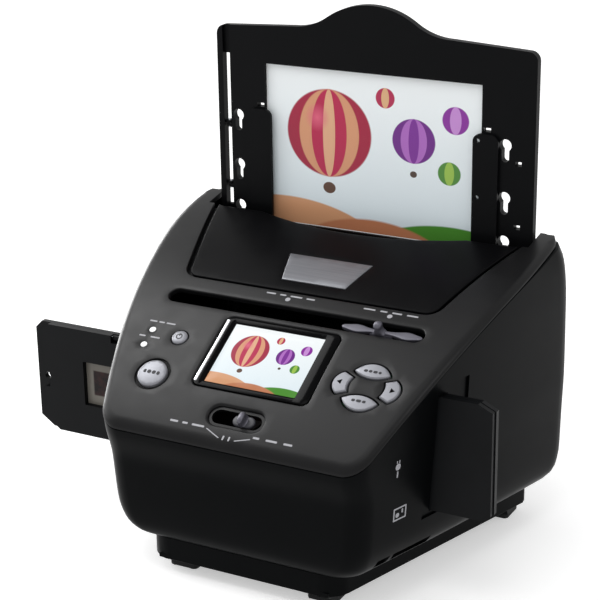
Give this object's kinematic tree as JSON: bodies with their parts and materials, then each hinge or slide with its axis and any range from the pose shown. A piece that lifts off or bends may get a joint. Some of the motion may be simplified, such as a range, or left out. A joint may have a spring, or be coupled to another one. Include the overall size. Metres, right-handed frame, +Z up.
{
  "type": "film negative scanner",
  "caption": "Desktop scanner for film negatives, slides and photo prints, with a sloping display panel, an upright photo tray and a sideways film holder.",
  "frame": {"origin": "on the desk, on the casing's middle plane, straight below the line where the film plane crosses it", "axes": "+Z up, +Y towards the back through the film plane, +X to the right seen from the front; the sloping panel faces -Y"},
  "size_m": [0.2635, 0.173, 0.2664],
  "materials": {
    "casing_black": "satin black moulded plastic",
    "panel_grey": "dark grey satin moulded plastic",
    "foot_rubber": "matt black rubber",
    "plate_metal": "grey satin metal plate, blank",
    "gloss_black": "gloss black bezel",
    "display": "lit colour display behind a clear window",
    "button_silver": "silver-white painted plastic",
    "clear_plastic": "clear light pipe",
    "circuit_board": "green circuit board with black parts",
    "steel": "plain steel",
    "chassis_black": "matt black moulded plastic",
    "lens_glass": "coated lens glass",
    "white_plastic": "white moulded plastic",
    "tray_black": "black moulded plastic",
    "print_paper": null,
    "holder_black": "black moulded plastic",
    "film_brown": "developed film, orange-brown base"
  },
  "bodies": {
    "casing": {"main_housing": "casing_black", "front_panel": "panel_grey", "top_cover": "panel_grey", "rear_cover": "casing_black", "base_plate": "casing_black", "foot_pad_front_left": "foot_rubber", "foot_pad_front_right": "foot_rubber", "foot_pad_rear_left": "foot_rubber", "foot_pad_rear_right": "foot_rubber", "name_plate": "plate_metal", "lcd_bezel": "gloss_black", "lcd_display": "display", "status_light_pipes": "clear_plastic", "left_button_board": "circuit_board", "right_button_board": "circuit_board", "main_board": "circuit_board", "usb_socket": "steel", "card_socket": "steel", "inner_chassis": "chassis_black", "camera_board": "circuit_board", "lens_barrel": "chassis_black", "camera_lens": "lens_glass", "film_channel": "chassis_black", "rod_bracket_left": "chassis_black", "rod_bracket_right": "chassis_black", "guide_rods": "steel", "photo_lamp_left": "white_plastic", "photo_lamp_right": "white_plastic", "tray_guide_left": "chassis_black", "tray_guide_right": "chassis_black", "base_screws": "steel", "chassis_screws": "steel", "rear_screws": "steel"},
    "scan_button": {"scan_button": "button_silver"},
    "power_button": {"power_button": "button_silver"},
    "nav_up": {"nav_up_button": "button_silver"},
    "nav_down": {"nav_down_button": "button_silver"},
    "nav_left": {"nav_left_button": "button_silver"},
    "nav_right": {"nav_right_button": "button_silver"},
    "mode_slider": {"mode_switch": "button_silver", "closeup_slider": "chassis_black", "closeup_lens": "lens_glass"},
    "backlight": {"backlight_lever": "button_silver", "backlight_housing": "white_plastic", "backlight_board": "white_plastic", "backlight_diffuser": "white_plastic"},
    "photo_tray": {"tray_back": "tray_black", "tray_front_frame": "tray_black", "tray_hinge_pins": "steel", "print_rail_left": "tray_black", "print_rail_right": "tray_black", "photo_print": "print_paper"},
    "film_holder": {"film_holder_base": "holder_black", "film_holder_cover": "holder_black", "film_holder_hinge_pin": "steel", "film_strip": "film_brown"}
  },
  "joints": [
    {"name": "photo_tray_slide", "type": "slide", "parent": "casing", "child": "photo_tray", "axis": [0, 0, 1], "range_m": [-0.112, 0.03]},
    {"name": "film_holder_slide", "type": "slide", "parent": "casing", "child": "film_holder", "axis": [1, 0, 0], "range_m": [-0.212, 0.242]},
    {"name": "backlight_slide", "type": "slide", "parent": "casing", "child": "backlight", "axis": [1, 0, 0], "range_m": [-0.0566, 0]},
    {"name": "mode_slide", "type": "slide", "parent": "casing", "child": "mode_slider", "axis": [1, 0, 0], "range_m": [-0.01, 0]},
    {"name": "scan_button_press", "type": "slide", "parent": "casing", "child": "scan_button", "axis": [0, 0.5443, -0.8389], "range_m": [0, 0.001], "stiffness_N_per_m": 900, "springref_m": -0.0005},
    {"name": "power_button_press", "type": "slide", "parent": "casing", "child": "power_button", "axis": [0, 0.4851, -0.8744], "range_m": [0, 0.001], "stiffness_N_per_m": 900, "springref_m": -0.0005},
    {"name": "nav_up_press", "type": "slide", "parent": "casing", "child": "nav_up", "axis": [0, 0.5071, -0.8619], "range_m": [0, 0.001], "stiffness_N_per_m": 900, "springref_m": -0.0005},
    {"name": "nav_down_press", "type": "slide", "parent": "casing", "child": "nav_down", "axis": [0, 0.5071, -0.8619], "range_m": [0, 0.001], "stiffness_N_per_m": 900, "springref_m": -0.0005},
    {"name": "nav_left_press", "type": "slide", "parent": "casing", "child": "nav_left", "axis": [0, 0.5071, -0.8619], "range_m": [0, 0.001], "stiffness_N_per_m": 900, "springref_m": -0.0005},
    {"name": "nav_right_press", "type": "slide", "parent": "casing", "child": "nav_right", "axis": [0, 0.5071, -0.8619], "range_m": [0, 0.001], "stiffness_N_per_m": 900, "springref_m": -0.0005}
  ]
}
